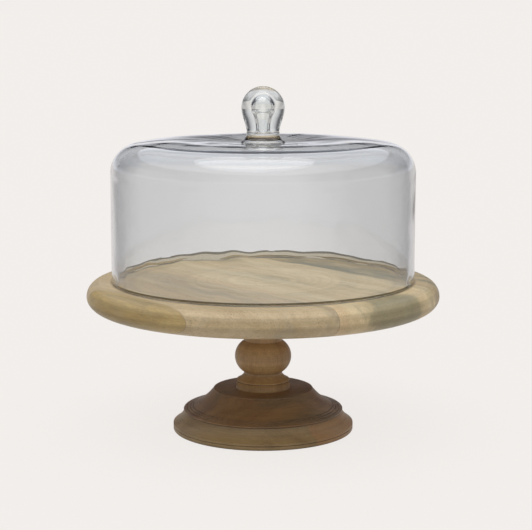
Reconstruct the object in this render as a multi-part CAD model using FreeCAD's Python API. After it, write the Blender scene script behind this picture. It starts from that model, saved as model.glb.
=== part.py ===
"""Turned wooden cake stand with a lift-off clear glass dome and a hollow glass knob.

Frame: millimetres, +Z up, origin on the table at the centre of the base, +X to the viewer's right.
Every turned or blown piece is a solid of revolution about Z, drawn as half a section (radius, height).
"""
import FreeCAD, Part
import math
import os

from FreeCAD import Vector

os.makedirs("parts", exist_ok=True)

# ---- stand: overall -------------------------------------------------------------------------
STAND_HEIGHT = 130.0            # table to the board's top face
PAD_PROUD = 0.6                 # how far the felt pads lift the base off the table

# ---- board: four edge-glued staves, turned to a disc with a full bullnose rim ----------------
BOARD_DIAMETER = 300.0
BOARD_THICKNESS = 23.6
STAVE_ANGLE = 40.0              # from +X to the way the staves lie side by side, seen from above
EDGE_STAVE_WIDTH = 16.0         # the narrow stave at the front left, in from the rim
LEFT_GLUE_LINE = 43.0           # from the axis to the middle stave's left glue line
RIGHT_GLUE_LINE = 79.0          # from the axis to its right glue line
RIM_UNDERCUT = 4.0              # how much further in the rim's lower half runs than its upper half

# ---- foot board: the lower of the base's two laminations --------------------------------------
FOOT_BOARD_THICKNESS = 16.4
FOOT_DIAMETER = 154.8
FOOT_BAND_HEIGHT = 5.6          # upright band round the bottom, below the lower cove
FOOT_EDGE_ROUND = 0.9
BAND_GROOVE_HEIGHT = 3.5        # fine line round the band, above the underside
COVE_GROOVE_DEPTH = 0.7         # undercut where the lower cove meets the band
LOWER_COVE_REACH = 8.6          # from the foot's edge in to the plinth's lip
LOWER_COVE_SAG = 1.0            # how hollow the lower cove is, against its chord

# ---- plinth: the upper lamination ---------------------------------------------------------------
PLINTH_THICKNESS = 19.2
LIP_HEIGHT = 1.4
LIP_BULGE = 0.5
LIP_UNDERCUT = 1.1
UPPER_COVE_REACH = 25.8         # from the lip in to the plateau's edge
PLATEAU_EDGE_HEIGHT = 3.4       # steep edge between the plateau and the upper cove
PLATEAU_EDGE_FLARE = 1.9
PLATEAU_EDGE_ROUND = 1.4
UPPER_COVE_SAG = 2.3
COVE_LINE_COUNT = 3             # fine turned lines at the foot of the upper cove
COVE_LINE_PITCH = 2.7

FINE_GROOVE_DEPTH = 0.45
FINE_GROOVE_WIDTH = 0.8

# ---- column: one turning, with a collar, a ball between two necks, and a flared head ------------
COLLAR_DIAMETER = 47.4
COLLAR_HEIGHT = 6.2
COLLAR_WAIST = 0.9              # how far the collar's side is hollowed
COLLAR_BEAD_RADIUS = 0.8
NECK_DIAMETER = 32.8
NECK_RISE = 12.4                # lower neck's narrowest ring above the plateau
NECK_FLARE_SAG = 0.5            # hollow between the neck and the collar's bead
BALL_RISE = 27.7                # ball's widest ring above the plateau
BALL_DIAMETER = 48.4
BALL_SECTION_RADIUS = 15.7
HEAD_DIAMETER = 68.0
HEAD_EDGE_HEIGHT = 4.0
HEAD_COVE_SAG = 5.0
TENON_DIAMETER = 24.0
TENON_LENGTH = 12.0

# ---- glass dome ---------------------------------------------------------------------------------
BOARD_MARGIN = 21.3             # board left showing outside the dome
DOME_HEIGHT = 119.4             # rim to the highest ring of the crown
GLASS_WALL = 5.0
SHOULDER_RADIUS = 24.0
CROWN_RADIUS = 270.0            # section radius between the shoulder and the highest ring
CROWN_RING_DIAMETER = 132.0     # the crown is highest here and dips gently to the knob
DISH_DEPTH = 2.0
RIM_ROUND = 1.6

# ---- glass knob ---------------------------------------------------------------------------------
KNOB_HEIGHT = 46.9
KNOB_DIAMETER = 36.6
KNOB_NECK_DIAMETER = 28.6
KNOB_NECK_HEIGHT = 12.5
KNOB_FOOT_DIAMETER = 34.0
BUBBLE_DIAMETER = 15.4
BUBBLE_TOP_GAP = 9.6            # solid glass over the bubble
BUBBLE_FLOOR = 7.5              # solid glass under the bubble
BUBBLE_FOOT_DIAMETER = 7.6
BUBBLE_TURN = -30.0             # the angle below its widest ring where its roof runs into its side

# ---- hardware -----------------------------------------------------------------------------------
BOLT_DIAMETER = 8.0             # M8 hanger bolt: machine thread up, wood thread down
BOLT_IN_INSERT = 12.0
BOLT_END_CHAMFER = 1.0
INSERT_DIAMETER = 12.0
INSERT_LENGTH = 15.0
INSERT_FLANGE_DIAMETER = 17.0
INSERT_FLANGE_THICKNESS = 1.5
SCREW_DIAMETER = 6.0
SCREW_PAST_TENON = 37.4         # screw driven into the column above its tenon's end
WOOD_BETWEEN_FIXINGS = 11.8     # from the screw's tip up to the bolt's tip
SCREW_HEAD_DIAMETER = 12.0
SCREW_HEAD_SINK = 1.0           # head below the base's underside
SCREW_TIP_LENGTH = 6.0
DRIVE_RECESS_DEPTH = 2.6
DRIVE_RECESS_WIDTH = 1.4
DRIVE_RECESS_SPAN = 5.6
PAD_DIAMETER = 18.0
PAD_THICKNESS = 2.5
PAD_COUNT = 4
PAD_INSET = 15.4                # from the foot's edge in to a pad's centre

# ---- fits -----------------------------------------------------------------------------------------
THREAD_CLEARANCE = 0.05         # radial, between a thread's outside and its hole
TENON_CLEARANCE = 0.1           # radial, glue line round the tenon
HOLE_END_CLEARANCE = 2.0        # past the end of a bolt, screw or tenon
FLANGE_CLEARANCE = 0.2
PAD_CLEARANCE = 0.2

# ---- worked out from the sizes above ----------------------------------------------------------------
BASE_UNDERSIDE = PAD_PROUD
LAMINATION_JOINT = BASE_UNDERSIDE + FOOT_BOARD_THICKNESS
PLATEAU = LAMINATION_JOINT + PLINTH_THICKNESS
TENON_END = PLATEAU - TENON_LENGTH
BOARD_TOP = STAND_HEIGHT
BOARD_UNDERSIDE = BOARD_TOP - BOARD_THICKNESS
KNOB_SEAT = BOARD_TOP + DOME_HEIGHT - DISH_DEPTH
SCREW_FACE = BASE_UNDERSIDE + SCREW_HEAD_SINK
SCREW_END = TENON_END + SCREW_PAST_TENON
BOLT_END = SCREW_END + WOOD_BETWEEN_FIXINGS
LIP_RADIUS = FOOT_DIAMETER / 2 - LOWER_COVE_REACH
PLATEAU_RADIUS = LIP_RADIUS - UPPER_COVE_REACH
DOME_RADIUS = BOARD_DIAMETER / 2 - BOARD_MARGIN
FULL_TURN = 360.0
QUARTER_ROUND_SAG = 1 - math.sqrt(0.5)      # of a quarter circle, as a share of its radius


def point(radius, height):
    """A point of a half section."""
    return Vector(radius, 0.0, height)


def line(start, end):
    return Part.LineSegment(point(*start), point(*end)).toShape()


def bowed(start, end, sag):
    """An arc from start to end that stands `sag` off its chord, to the left of the way it runs."""
    (r0, z0), (r1, z1) = start, end
    chord = math.hypot(r1 - r0, z1 - z0)
    middle = ((r0 + r1) / 2 - sag * (z1 - z0) / chord, (z0 + z1) / 2 + sag * (r1 - r0) / chord)
    return Part.Arc(point(*start), point(*middle), point(*end)).toShape()


def leaving(start, heading, end):
    """An arc that leaves start at a heading, in degrees, and ends at end."""
    (r0, z0), (r1, z1) = start, end
    swing = math.atan2(z1 - z0, r1 - r0) - math.radians(heading)
    return bowed(start, end, -math.hypot(r1 - r0, z1 - z0) / 2 * math.tan(swing / 2))


def on_circle(centre, radius, degrees):
    """The point of a circle at an angle counted from +radius towards +height."""
    angle = math.radians(degrees)
    return (centre[0] + radius * math.cos(angle), centre[1] + radius * math.sin(angle))


def arc(centre, radius, first, last):
    middle = on_circle(centre, radius, (first + last) / 2)
    ends = on_circle(centre, radius, first), on_circle(centre, radius, last)
    return Part.Arc(point(*ends[0]), point(*middle), point(*ends[1])).toShape()


def quarter_oval(centre, across, deep):
    """The outer lower quarter of an oval, `across` to its side and `deep` below its centre."""
    side, top = point(centre[0] + across, centre[1]), point(centre[0], centre[1] + deep)
    oval = Part.Ellipse(side, top, point(*centre))
    return Part.ArcOfEllipse(oval, 1.5 * math.pi, 2 * math.pi).toShape()


def outline(*steps):
    """Edges from point to point. A step is a point, or (point, sag) for an arc that ends there."""
    edges = []
    here = steps[0]
    for step in steps[1:]:
        curved = isinstance(step[0], tuple)
        there = step[0] if curved else step
        edges.append(bowed(here, there, step[1]) if curved else line(here, there))
        here = there
    return edges


def turned(edges):
    """The solid swept by a closed half section once round Z."""
    face = Part.Face(Part.Wire(Part.__sortEdges__(edges)))
    return face.revolve(Vector(0, 0, 0), Vector(0, 0, 1), FULL_TURN)


def rod(radius, low, high):
    return Part.makeCylinder(radius, high - low, point(0, low))


def turned_line(radius, height, direction):
    """A cutter for a fine V groove at a surface point; direction is the way out of the wood."""
    out = math.radians(direction)
    outward = (math.cos(out), math.sin(out))

    def corner(depth, across):
        return (radius - depth * outward[0] - across * outward[1],
                height - depth * outward[1] + across * outward[0])

    corners = [corner(-FINE_GROOVE_DEPTH, -FINE_GROOVE_WIDTH),
               corner(-FINE_GROOVE_DEPTH, FINE_GROOVE_WIDTH), corner(FINE_GROOVE_DEPTH, 0.0)]
    return turned(outline(*corners, corners[0]))


def on_bow(start, end, sag, share):
    """The point a share of the way along a shallow bowed edge, and its outward direction in degrees."""
    (r0, z0), (r1, z1) = start, end
    chord = math.hypot(r1 - r0, z1 - z0)
    lift = 4 * sag * share * (1 - share)
    normal = (-(z1 - z0) / chord, (r1 - r0) / chord)
    radius = r0 + share * (r1 - r0) + lift * normal[0]
    height = z0 + share * (z1 - z0) + lift * normal[1]
    slope = math.atan2(z1 - z0, r1 - r0) + math.atan(4 * sag * (1 - 2 * share) / chord)
    return radius, height, math.degrees(slope) - 90.0


def save(node, shape):
    shape.exportStep("parts/" + node + ".step")


# ---- board ----------------------------------------------------------------------------------------

def stave_blank(low, high):
    """The plank between two glue lines, given by their distances from the axis."""
    blank = Part.makeBox(high - low, 2 * BOARD_DIAMETER, BOARD_THICKNESS,
                         Vector(low, -BOARD_DIAMETER, BOARD_UNDERSIDE))
    blank.rotate(Vector(0, 0, 0), Vector(0, 0, 1), STAVE_ANGLE)
    return blank


def board_staves():
    """The disc with its bullnose rim, holed for the insert, and sawn along the three glue lines."""
    half = BOARD_THICKNESS / 2
    rim = BOARD_DIAMETER / 2
    middle = BOARD_UNDERSIDE + half
    top_radius = rim - half
    underside_radius = rim - half - RIM_UNDERCUT
    section = outline((top_radius, BOARD_TOP), (0, BOARD_TOP), (0, BOARD_UNDERSIDE),
                      (underside_radius, BOARD_UNDERSIDE))
    section.append(arc((top_radius, middle), half, 0.0, 90.0))
    section.append(quarter_oval((underside_radius, middle), half + RIM_UNDERCUT, half))
    disc = turned(section)
    hole_top = BOARD_UNDERSIDE + INSERT_LENGTH
    disc = disc.cut(rod(INSERT_DIAMETER / 2 + THREAD_CLEARANCE, BOARD_UNDERSIDE, hole_top))
    disc = disc.cut(rod(INSERT_FLANGE_DIAMETER / 2 + FLANGE_CLEARANCE, BOARD_UNDERSIDE,
                        BOARD_UNDERSIDE + INSERT_FLANGE_THICKNESS))
    edge_line = EDGE_STAVE_WIDTH - rim
    return {
        "board_stave_edge": disc.common(stave_blank(-BOARD_DIAMETER, edge_line)),
        "board_stave_left": disc.common(stave_blank(edge_line, -LEFT_GLUE_LINE)),
        "board_stave_middle": disc.common(stave_blank(-LEFT_GLUE_LINE, RIGHT_GLUE_LINE)),
        "board_stave_right": disc.common(stave_blank(RIGHT_GLUE_LINE, BOARD_DIAMETER)),
    }


# ---- base -----------------------------------------------------------------------------------------

def pad_places():
    reach = FOOT_DIAMETER / 2 - PAD_INSET
    for index in range(PAD_COUNT):
        yield on_circle((0.0, 0.0), reach, FULL_TURN * (index + 0.5) / PAD_COUNT)


def base_foot():
    """Lower lamination: upright band, undercut line, then a cove in to the plinth's lip."""
    radius = FOOT_DIAMETER / 2
    band_top = BASE_UNDERSIDE + FOOT_BAND_HEIGHT
    neck = LIP_RADIUS - LIP_UNDERCUT
    shoulder = radius - COVE_GROOVE_DEPTH
    section = outline(
        (0, LAMINATION_JOINT), (0, BASE_UNDERSIDE), (radius - FOOT_EDGE_ROUND, BASE_UNDERSIDE),
        ((radius, BASE_UNDERSIDE + FOOT_EDGE_ROUND), -FOOT_EDGE_ROUND * QUARTER_ROUND_SAG),
        (radius, band_top),
        (shoulder, band_top + COVE_GROOVE_DEPTH / 2),
        ((neck, LAMINATION_JOINT), LOWER_COVE_SAG), (0, LAMINATION_JOINT))
    foot = turned(section)
    foot = foot.cut(turned_line(radius, BASE_UNDERSIDE + BAND_GROOVE_HEIGHT, 0.0))
    for x, y in pad_places():
        foot = foot.cut(Part.makeCylinder(PAD_DIAMETER / 2 + PAD_CLEARANCE, PAD_THICKNESS - PAD_PROUD,
                                          Vector(x, y, BASE_UNDERSIDE)))
    return foot.cut(screw_hole())


def base_plinth():
    """Upper lamination: a lip over the foot, a cove with turned lines, and a raised plateau."""
    cove_start = (LIP_RADIUS - LIP_UNDERCUT / 2, LAMINATION_JOINT + LIP_HEIGHT)
    cove_end = (PLATEAU_RADIUS + PLATEAU_EDGE_FLARE, PLATEAU - PLATEAU_EDGE_HEIGHT)
    section = outline(
        (0, PLATEAU), (0, LAMINATION_JOINT), (LIP_RADIUS - LIP_UNDERCUT, LAMINATION_JOINT),
        (cove_start, -LIP_BULGE), (cove_end, UPPER_COVE_SAG),
        (PLATEAU_RADIUS, PLATEAU - PLATEAU_EDGE_ROUND),
        ((PLATEAU_RADIUS - PLATEAU_EDGE_ROUND, PLATEAU), -PLATEAU_EDGE_ROUND * QUARTER_ROUND_SAG),
        (0, PLATEAU))
    plinth = turned(section)
    cove_length = math.dist(cove_start, cove_end)
    for index in range(COVE_LINE_COUNT):
        share = (index + 1) * COVE_LINE_PITCH / cove_length
        plinth = plinth.cut(turned_line(*on_bow(cove_start, cove_end, UPPER_COVE_SAG, share)))
    plinth = plinth.cut(rod(TENON_DIAMETER / 2 + TENON_CLEARANCE, TENON_END - HOLE_END_CLEARANCE, PLATEAU))
    return plinth.cut(screw_hole())


def foot_pads():
    """Four felt discs let into the underside."""
    return Part.makeCompound([
        Part.makeCylinder(PAD_DIAMETER / 2, PAD_THICKNESS, Vector(x, y, 0)) for x, y in pad_places()])


# ---- column ---------------------------------------------------------------------------------------

def column():
    """One turning: tenon, collar, lower neck, ball, upper neck and the head that carries the board."""
    collar = COLLAR_DIAMETER / 2
    collar_top = PLATEAU + COLLAR_HEIGHT
    bead = collar - COLLAR_BEAD_RADIUS
    bead_top = collar_top + 2 * COLLAR_BEAD_RADIUS
    neck = NECK_DIAMETER / 2
    ball_centre = (BALL_DIAMETER / 2 - BALL_SECTION_RADIUS, PLATEAU + BALL_RISE)
    ball_angle = math.degrees(math.acos((neck - ball_centre[0]) / BALL_SECTION_RADIUS))
    lower_neck = on_circle(ball_centre, BALL_SECTION_RADIUS, -ball_angle)
    upper_neck = on_circle(ball_centre, BALL_SECTION_RADIUS, ball_angle)
    head = HEAD_DIAMETER / 2
    head_low = (head, BOARD_UNDERSIDE - HEAD_EDGE_HEIGHT)
    section = outline(
        (0, BOARD_UNDERSIDE), (0, TENON_END), (TENON_DIAMETER / 2, TENON_END),
        (TENON_DIAMETER / 2, PLATEAU), (collar, PLATEAU), ((collar, collar_top), COLLAR_WAIST),
        (bead, collar_top), ((bead - COLLAR_BEAD_RADIUS, bead_top), -COLLAR_BEAD_RADIUS / 2),
        ((neck, PLATEAU + NECK_RISE), NECK_FLARE_SAG), lower_neck)
    section.append(arc(ball_centre, BALL_SECTION_RADIUS, -ball_angle, ball_angle))
    section += outline(
        upper_neck, (head_low, HEAD_COVE_SAG), (head, BOARD_UNDERSIDE), (0, BOARD_UNDERSIDE))
    turning = turned(section)
    turning = turning.cut(rod(BOLT_DIAMETER / 2 + THREAD_CLEARANCE,
                              BOLT_END - HOLE_END_CLEARANCE, BOARD_UNDERSIDE))
    return turning.cut(screw_hole())


# ---- glass ----------------------------------------------------------------------------------------

def dome_section(offset):
    """The dome's outer face, or a face `offset` inside it, from the wall's foot to the knob's seat."""
    crown_top = BOARD_TOP + DOME_HEIGHT
    ring = CROWN_RING_DIAMETER / 2
    seat = KNOB_FOOT_DIAMETER / 2
    shoulder_in = DOME_RADIUS - SHOULDER_RADIUS
    crown_centre = (ring, crown_top - CROWN_RADIUS)
    reach = CROWN_RADIUS - SHOULDER_RADIUS
    rise = math.sqrt(reach ** 2 - (shoulder_in - ring) ** 2)
    shoulder_centre = (shoulder_in, crown_centre[1] + rise)
    turn = math.degrees(math.atan2(rise, shoulder_in - ring))
    half_run = (ring - seat) / 2
    dish_radius = (half_run ** 2 + (DISH_DEPTH / 2) ** 2) / DISH_DEPTH
    dish_turn = math.degrees(math.asin(half_run / dish_radius))
    hump_centre = (ring, crown_top - dish_radius)
    hollow_centre = (seat, KNOB_SEAT + dish_radius)
    return [
        line((DOME_RADIUS - offset, BOARD_TOP + RIM_ROUND), (DOME_RADIUS - offset, shoulder_centre[1])),
        arc(shoulder_centre, SHOULDER_RADIUS - offset, 0.0, turn),
        arc(crown_centre, CROWN_RADIUS - offset, turn, 90.0),
        arc(hump_centre, dish_radius - offset, 90.0, 90.0 + dish_turn),
        arc(hollow_centre, dish_radius + offset, -90.0 + dish_turn, -90.0),
        line((seat, KNOB_SEAT - offset), (0, KNOB_SEAT - offset)),
    ]


def dome_shell():
    """Blown cylinder with a soft shoulder, a nearly flat crown and a fire-polished rim."""
    outer = DOME_RADIUS
    inner = outer - GLASS_WALL
    rim = [
        arc((outer - RIM_ROUND, BOARD_TOP + RIM_ROUND), RIM_ROUND, -90.0, 0.0),
        arc((inner + RIM_ROUND, BOARD_TOP + RIM_ROUND), RIM_ROUND, 180.0, 270.0),
        line((inner + RIM_ROUND, BOARD_TOP), (outer - RIM_ROUND, BOARD_TOP)),
        line((0, KNOB_SEAT - GLASS_WALL), (0, KNOB_SEAT)),
    ]
    return turned(dome_section(0.0) + dome_section(GLASS_WALL) + rim)


def dome_knob():
    """A pear of glass with a sealed bubble inside, flared at its foot where it is fused on."""
    top = KNOB_SEAT + KNOB_HEIGHT
    radius = KNOB_DIAMETER / 2
    centre = (0, top - radius)
    neck = (KNOB_NECK_DIAMETER / 2, KNOB_SEAT + KNOB_NECK_HEIGHT)
    foot = (KNOB_FOOT_DIAMETER / 2, KNOB_SEAT)
    fall = centre[1] - neck[1]
    touch = math.degrees(math.acos(radius / math.hypot(neck[0], fall)) - math.atan2(fall, neck[0]))
    outer = [arc(centre, radius, touch, 90.0), line(on_circle(centre, radius, touch), neck),
             leaving(neck, touch - 90.0, foot), line(foot, (0, KNOB_SEAT)), line((0, KNOB_SEAT), (0, top))]
    bubble = BUBBLE_DIAMETER / 2
    bubble_top = top - BUBBLE_TOP_GAP
    bubble_centre = (0, bubble_top - bubble)
    bubble_floor = KNOB_SEAT + BUBBLE_FLOOR
    heel = (BUBBLE_FOOT_DIAMETER / 2, bubble_floor)
    void = [arc(bubble_centre, bubble, BUBBLE_TURN, 90.0),
            leaving(on_circle(bubble_centre, bubble, BUBBLE_TURN), BUBBLE_TURN - 90.0, heel),
            line(heel, (0, bubble_floor)), line((0, bubble_floor), (0, bubble_top))]
    return turned(outer).cut(turned(void))


# ---- hardware ---------------------------------------------------------------------------------------

def board_insert():
    """Flanged threaded insert, flush with the board's underside."""
    barrel = rod(INSERT_DIAMETER / 2, BOARD_UNDERSIDE, BOARD_UNDERSIDE + INSERT_LENGTH)
    flange = rod(INSERT_FLANGE_DIAMETER / 2, BOARD_UNDERSIDE, BOARD_UNDERSIDE + INSERT_FLANGE_THICKNESS)
    bore = rod(BOLT_DIAMETER / 2 + THREAD_CLEARANCE, BOARD_UNDERSIDE, BOARD_UNDERSIDE + INSERT_LENGTH)
    return barrel.fuse(flange).cut(bore).removeSplitter()


def hanger_bolt():
    """Stud with a machine thread in the insert and a pointed wood thread in the column."""
    radius = BOLT_DIAMETER / 2
    top = BOARD_UNDERSIDE + BOLT_IN_INSERT
    return turned(outline(
        (0, BOLT_END), (radius, BOLT_END + BOLT_DIAMETER), (radius, top - BOLT_END_CHAMFER),
        (radius - BOLT_END_CHAMFER, top), (0, top), (0, BOLT_END)))


def screw_section(clearance, tip_gap):
    """Half section of the countersunk screw, or with clearances of the hole for its shank and head."""
    shank = SCREW_DIAMETER / 2 + clearance
    head = SCREW_HEAD_DIAMETER / 2
    cone_top = SCREW_FACE + head - shank
    end = SCREW_END + tip_gap
    return outline((0, SCREW_FACE), (head, SCREW_FACE), (shank, cone_top),
                   (shank, end - SCREW_TIP_LENGTH), (0, end), (0, SCREW_FACE))


def screw_hole():
    mouth = rod(SCREW_HEAD_DIAMETER / 2, BASE_UNDERSIDE, SCREW_FACE)
    return turned(screw_section(THREAD_CLEARANCE, HOLE_END_CLEARANCE)).fuse(mouth)


def base_screw():
    """Countersunk wood screw up through the base into the column, with a cross recess."""
    screw = turned(screw_section(0.0, 0.0))
    for wide, deep in ((DRIVE_RECESS_SPAN, DRIVE_RECESS_WIDTH), (DRIVE_RECESS_WIDTH, DRIVE_RECESS_SPAN)):
        corner = Vector(-wide / 2, -deep / 2, SCREW_FACE)
        screw = screw.cut(Part.makeBox(wide, deep, DRIVE_RECESS_DEPTH, corner))
    return screw


def build():
    for node, stave in board_staves().items():
        save(node, stave)
    for maker in (board_insert, hanger_bolt, column, base_plinth, base_foot, base_screw, foot_pads,
                  dome_shell, dome_knob):
        save(maker.__name__, maker())


build()
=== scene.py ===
"""Looks for a turned cake stand with a blown glass dome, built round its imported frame.

The wooden, metal and felt pieces keep their frame meshes and get procedural finishes. The dome and the
knob are lathed again here as one body of glass with the unevenness of hand-blown work. Lengths are in
metres, in the frame's own axes: +Z up, -Y towards the viewer.
"""

import math

import bmesh
import bpy
from bpy.props import FloatProperty, FloatVectorProperty, IntProperty, PointerProperty
from mathutils import Euler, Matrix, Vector, noise


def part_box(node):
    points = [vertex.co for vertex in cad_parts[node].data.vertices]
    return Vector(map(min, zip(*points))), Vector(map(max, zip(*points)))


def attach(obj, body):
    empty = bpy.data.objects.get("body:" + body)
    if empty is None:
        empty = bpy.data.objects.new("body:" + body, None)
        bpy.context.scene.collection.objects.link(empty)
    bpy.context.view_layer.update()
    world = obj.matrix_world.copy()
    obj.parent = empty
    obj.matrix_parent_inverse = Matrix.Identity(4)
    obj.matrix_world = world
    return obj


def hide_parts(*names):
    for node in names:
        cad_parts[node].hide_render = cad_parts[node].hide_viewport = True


bl_info = {
    "name": "Cake Stand Finishes",
    "version": (1, 0, 0),
    "blender": (4, 5, 0),
    "location": "3D View > Sidebar > Cake Stand",
    "description": "Finishes a turned wooden cake stand and its blown glass dome",
    "category": "Object",
}

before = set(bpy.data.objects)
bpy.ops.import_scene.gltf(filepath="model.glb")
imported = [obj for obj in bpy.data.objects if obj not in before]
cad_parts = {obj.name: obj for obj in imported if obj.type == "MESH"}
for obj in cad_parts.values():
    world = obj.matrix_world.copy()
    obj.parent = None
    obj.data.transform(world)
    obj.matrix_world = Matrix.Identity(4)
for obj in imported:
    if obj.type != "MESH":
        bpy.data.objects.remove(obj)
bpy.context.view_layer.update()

MM = 0.001
FULL_TURN = 2 * math.pi
QUARTER_TURN = math.radians(90.0)

DOUBLED = 1e-7                  # points nearer than this are one
BLACK, WHITE = (0.0, 0.0, 0.0), (1.0, 1.0, 1.0)


# ---- settings a user would change ------------------------

def colour_property(name, description, default):
    return FloatVectorProperty(name=name, description=description, default=default, subtype="COLOR",
                               min=0.0, max=1.0)


def length_property(name, description, default):
    return FloatProperty(name=name, description=description, default=default, min=0.0, unit="LENGTH",
                         precision=5)


def share_property(name, description, default):
    return FloatProperty(name=name, description=description, default=default, min=0.0, max=1.0,
                         subtype="FACTOR")


def angle_property(name, description, degrees):
    return FloatProperty(name=name, description=description, default=math.radians(degrees),
                         subtype="ANGLE")


class GlassSettings(bpy.types.PropertyGroup):
    """Sizes and colour of the blown glass."""

    tint: colour_property("Glass tint", "Colour the dome's glass gives to what is behind it",
                          (0.885, 0.9, 0.915))
    # painted shade: the dome's glass darkened where it is seen edge-on
    edge_shade_tint: colour_property("Edge shade", "Colour of the glass seen edge-on", (0.5, 0.515, 0.55))
    # painted shade: a near-black line round the rim, in place of the dark line that light bending in the
    # rim shows
    rim_shade_tint: colour_property("Rim shade", "Colour of the deep line round the rim",
                              (0.06, 0.052, 0.034))
    # painted reflection: the glass below the painted shade line takes the wood's colour
    bore_reflection_tint: colour_property("Bore reflection", "Colour the wood lends the glass below its deep line",
                               (0.42, 0.35, 0.22))
    # painted shade: the knob's glass darkened where it is seen edge-on
    knob_tint: colour_property("Knob tint", "Colour of the solid glass of the knob", (0.95, 0.965, 0.955))
    knob_edge_shade_tint: colour_property("Knob edge shade", "Colour of the knob seen edge-on", (0.62, 0.65, 0.63))
    wall: length_property("Wall", "Thickness of the dome's wall", 5.0 * MM)
    shoulder: length_property("Shoulder radius", "Outer radius between the wall and the crown", 24.0 * MM)
    crown: length_property("Crown radius", "Section radius of the nearly flat crown", 270.0 * MM)
    crown_ring: length_property("Crown ring radius", "Where the crown is highest", 66.0 * MM)
    dish: length_property("Dish depth", "How far the crown dips to the knob", 2.0 * MM)
    rim_round: length_property("Rim round", "Fire-polished radius at the rim", 0.5 * MM)
    # heights of the painted shade lines round the outside and the bore, and the height of each band
    rim_shade_line: length_property("Rim shade line", "Height of the deep line round the outside", 2.1 * MM)
    bore_shade_line: length_property("Bore shade line", "Height of the deep line round the bore", 5.4 * MM)
    line_width: length_property("Shade line width", "Height of each deep line's band", 1.7 * MM)
    waviness: length_property("Waviness", "Unevenness of the blown faces", 0.28 * MM)
    rim_waviness: length_property("Rim waviness", "Unevenness of the bore just above the rim", 0.8 * MM)
    lean: length_property("Crown lean", "How much fuller the crown is towards the viewer", 3.4 * MM)
    segments: IntProperty(name="Segments", description="Steps round the glass", default=288, min=32)


class TimberSettings(bpy.types.PropertyGroup):
    """How the wood lies and how it is finished."""

    board_grain: angle_property("Board grain", "Way the board's grain runs, from +X", -50.0)
    base_grain: angle_property("Base grain", "Way the base's grain runs, from +X", 28.0)
    board_roughness: share_property("Board roughness", "Roughness of the waxed board", 0.46)
    base_roughness: share_property("Base roughness", "Roughness of the base's finish", 0.5)
    wax: share_property("Wax", "Weight of the thin wax coat", 0.08)


class StudioSettings(bpy.types.PropertyGroup):
    """Floor, lights and camera."""

    floor: colour_property("Floor", "Colour of the pale floor", (0.875, 0.845, 0.82))
    backdrop: colour_property("Backdrop", "Colour beyond the floor", (0.888, 0.855, 0.831))
    evenness: share_property("Floor evenness", "How much of the floor's shade is lifted", 0.93)
    floor_size: length_property("Floor size", "Side of the floor", 600.0)
    soft_light: FloatProperty(name="Overhead light", description="Strength of the soft overhead light",
                              default=1.55, min=0.0)
    surround: FloatProperty(name="Surround", description="Strength of the light from all round",
                            default=0.6, min=0.0)
    camera_distance: length_property("Camera distance", "Camera in front of the turned axis", 1347.2 * MM)
    camera_height: length_property("Camera height", "Camera above the board's top", 228.3 * MM)
    camera_side: length_property("Camera side step", "Camera to the right of the axis", 2.5 * MM)
    camera_pitch: angle_property("Camera pitch", "How far the camera looks down", 9.096)
    focal_length: FloatProperty(name="Focal length", description="Lens, in millimetres on a 36 mm sensor",
                                default=108.3, min=1.0)


# ---- node building ---------------------------------------

def feed(tree, socket, value):
    """Links a socket, or sets a plain value. A colour without its fourth part is opaque."""
    if isinstance(value, bpy.types.NodeSocket):
        tree.links.new(value, socket)
    elif socket.type == "RGBA" and len(value) == 3:
        socket.default_value = (*value, 1.0)
    else:
        socket.default_value = value


def add_node(tree, kind, **settings):
    node = tree.nodes.new(kind)
    for name, value in settings.items():
        setattr(node, name, value)
    return node


def maths(tree, operation, *values, clamp=False):
    node = add_node(tree, "ShaderNodeMath", operation=operation, use_clamp=clamp)
    for socket, value in zip(node.inputs, values):
        feed(tree, socket, value)
    return node.outputs[0]


def times(tree, first, second, clamp=False):
    return maths(tree, "MULTIPLY", first, second, clamp=clamp)


def plus(tree, first, second, clamp=False):
    return maths(tree, "ADD", first, second, clamp=clamp)


def minus(tree, first, second):
    return maths(tree, "SUBTRACT", first, second)


def vector_maths(tree, operation, *values):
    node = add_node(tree, "ShaderNodeVectorMath", operation=operation)
    for socket, value in zip(node.inputs, values):
        feed(tree, socket, value)
    return node.outputs["Value" if operation == "LENGTH" else "Vector"]


def parts(tree, vector):
    """A vector's X, Y and Z."""
    node = add_node(tree, "ShaderNodeSeparateXYZ")
    feed(tree, node.inputs[0], vector)
    return node.outputs


def noise_value(tree, vector, scale, detail=2.0, roughness=0.5, colour=False):
    node = add_node(tree, "ShaderNodeTexNoise")
    for name, value in (("Vector", vector), ("Scale", scale), ("Detail", detail), ("Roughness", roughness)):
        feed(tree, node.inputs[name], value)
    return node.outputs["Color" if colour else "Fac"]


def stretched_noise(tree, vector, waves, detail=2.0, roughness=0.5, colour=False):
    """Noise whose waves per metre differ along and across the grain."""
    return noise_value(tree, vector_maths(tree, "MULTIPLY", vector, waves), 1.0, detail, roughness, colour)


def ramp(tree, value, low, high, to_low=0.0, to_high=1.0, smooth=True):
    """Value spread from low..high to to_low..to_high, and held outside."""
    node = add_node(tree, "ShaderNodeMapRange", clamp=True,
                    interpolation_type="SMOOTHSTEP" if smooth else "LINEAR")
    for name, setting in (("Value", value), ("From Min", low), ("From Max", high), ("To Min", to_low),
                          ("To Max", to_high)):
        feed(tree, node.inputs[name], setting)
    return node.outputs["Result"]


def mixed(tree, factor, first, second, blend="MIX"):
    node = add_node(tree, "ShaderNodeMix", data_type="RGBA", blend_type=blend, clamp_factor=True)
    colours = [socket for socket in node.inputs if socket.type == "RGBA"]
    feed(tree, node.inputs[0], factor)
    feed(tree, colours[0], first)
    feed(tree, colours[1], second)
    return next(socket for socket in node.outputs if socket.type == "RGBA")


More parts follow.
